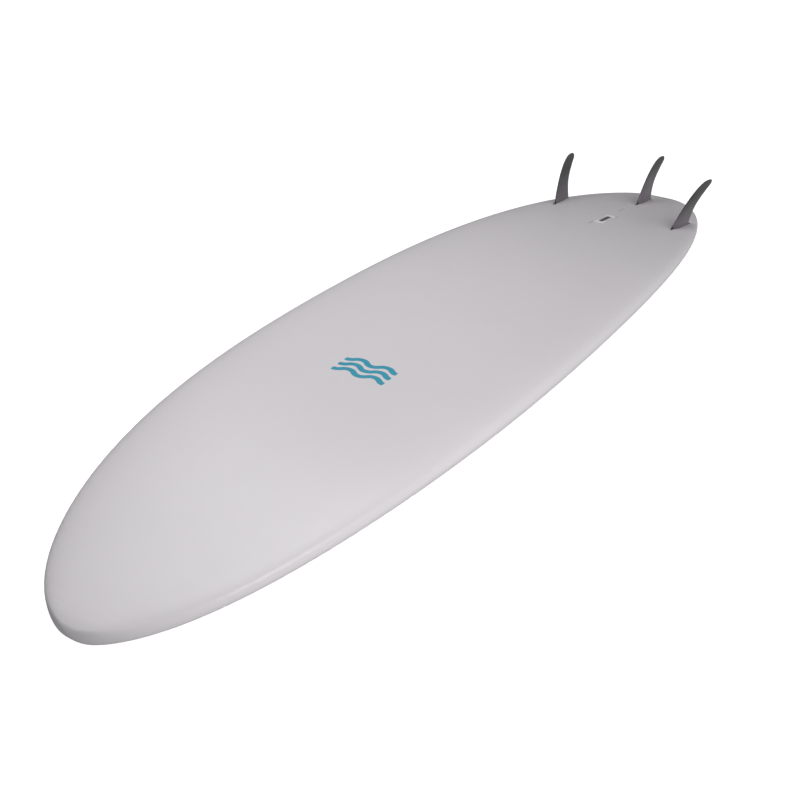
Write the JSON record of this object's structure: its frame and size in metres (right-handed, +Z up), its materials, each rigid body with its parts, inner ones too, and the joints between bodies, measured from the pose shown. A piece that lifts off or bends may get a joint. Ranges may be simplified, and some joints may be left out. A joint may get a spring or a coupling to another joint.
{
  "type": "surfboard",
  "caption": "Round-tailed shortboard with a laminated foam core, wooden stringer, swept fins that pull out of screwed sockets, and a leash cup in the deck.",
  "frame": {"origin": "on the ground below the middle of the board's box, the board lying deck down on its nose and tail", "axes": "+X to the nose, +Y to the rider's right-hand rail, +Z up out of the bottom, where the fins stand"},
  "size_m": [2.032, 0.5342, 0.1593],
  "materials": {
    "bottom_laminate": "sanded and polished epoxy laminate, pale grey with a lilac tint",
    "deck_laminate": "sanded epoxy laminate, pale grey",
    "light_foam": "expanded polystyrene foam, beaded",
    "dense_foam": "closed-cell foam block",
    "stringer_wood": "planed basswood",
    "fin_composite": "moulded glass-filled nylon, satin dark grey",
    "plug_plastic": "moulded nylon, sanded flush",
    "screw_steel": "stainless steel",
    "cup_plastic": "moulded black nylon",
    "pin_steel": "polished stainless steel"
  },
  "bodies": {
    "board": {"bottom_skin": "bottom_laminate", "deck_skin": "deck_laminate", "core_left": "light_foam", "core_right": "light_foam", "stringer": "stringer_wood", "fin_insert_left": "dense_foam", "fin_insert_right": "dense_foam", "fin_insert_center": "dense_foam", "plug_left_front": "plug_plastic", "plug_left_rear": "plug_plastic", "plug_right_front": "plug_plastic", "plug_right_rear": "plug_plastic", "plug_center_front": "plug_plastic", "plug_center_rear": "plug_plastic", "leash_insert": "dense_foam", "leash_cup": "cup_plastic", "leash_pin": "pin_steel"},
    "fin_left": {"fin_left": "fin_composite"},
    "fin_right": {"fin_right": "fin_composite"},
    "fin_center": {"fin_center": "fin_composite"},
    "screw_left_front": {"screw_left_front": "screw_steel"},
    "screw_left_rear": {"screw_left_rear": "screw_steel"},
    "screw_right_front": {"screw_right_front": "screw_steel"},
    "screw_right_rear": {"screw_right_rear": "screw_steel"},
    "screw_center_front": {"screw_center_front": "screw_steel"},
    "screw_center_rear": {"screw_center_rear": "screw_steel"}
  },
  "joints": [
    {"name": "fin_left_pull", "type": "slide", "parent": "board", "child": "fin_left", "axis": [-0.1109, -0.1329, 0.9849], "range_m": [0, 0.02]},
    {"name": "fin_right_pull", "type": "slide", "parent": "board", "child": "fin_right", "axis": [-0.1109, 0.1329, 0.9849], "range_m": [0, 0.02]},
    {"name": "fin_center_pull", "type": "slide", "parent": "board", "child": "fin_center", "axis": [-0.1283, 0, 0.9917], "range_m": [0, 0.02]},
    {"name": "screw_left_front_turn", "type": "hinge", "parent": "board", "child": "screw_left_front", "pos_m": [-0.69644, -0.14252, 0.06662], "axis": [-0.1514, 0.437, 0.8866], "range_deg": [0, 720]},
    {"name": "screw_left_rear_turn", "type": "hinge", "parent": "board", "child": "screw_left_rear", "pos_m": [-0.7498, -0.14746, 0.05994], "axis": [-0.1514, 0.437, 0.8866], "range_deg": [0, 720]},
    {"name": "screw_right_front_turn", "type": "hinge", "parent": "board", "child": "screw_right_front", "pos_m": [-0.69644, 0.14252, 0.06662], "axis": [-0.1514, -0.437, 0.8866], "range_deg": [0, 720]},
    {"name": "screw_right_rear_turn", "type": "hinge", "parent": "board", "child": "screw_right_rear", "pos_m": [-0.7498, 0.14746, 0.05994], "axis": [-0.1514, -0.437, 0.8866], "range_deg": [0, 720]},
    {"name": "screw_center_front_turn", "type": "hinge", "parent": "board", "child": "screw_center_front", "pos_m": [-0.85372, 0.00845, 0.0495], "axis": [-0.1068, 0.5548, 0.8251], "range_deg": [0, 720]},
    {"name": "screw_center_rear_turn", "type": "hinge", "parent": "board", "child": "screw_center_rear", "pos_m": [-0.90727, 0.00845, 0.04257], "axis": [-0.1068, 0.5548, 0.8251], "range_deg": [0, 720]}
  ]
}
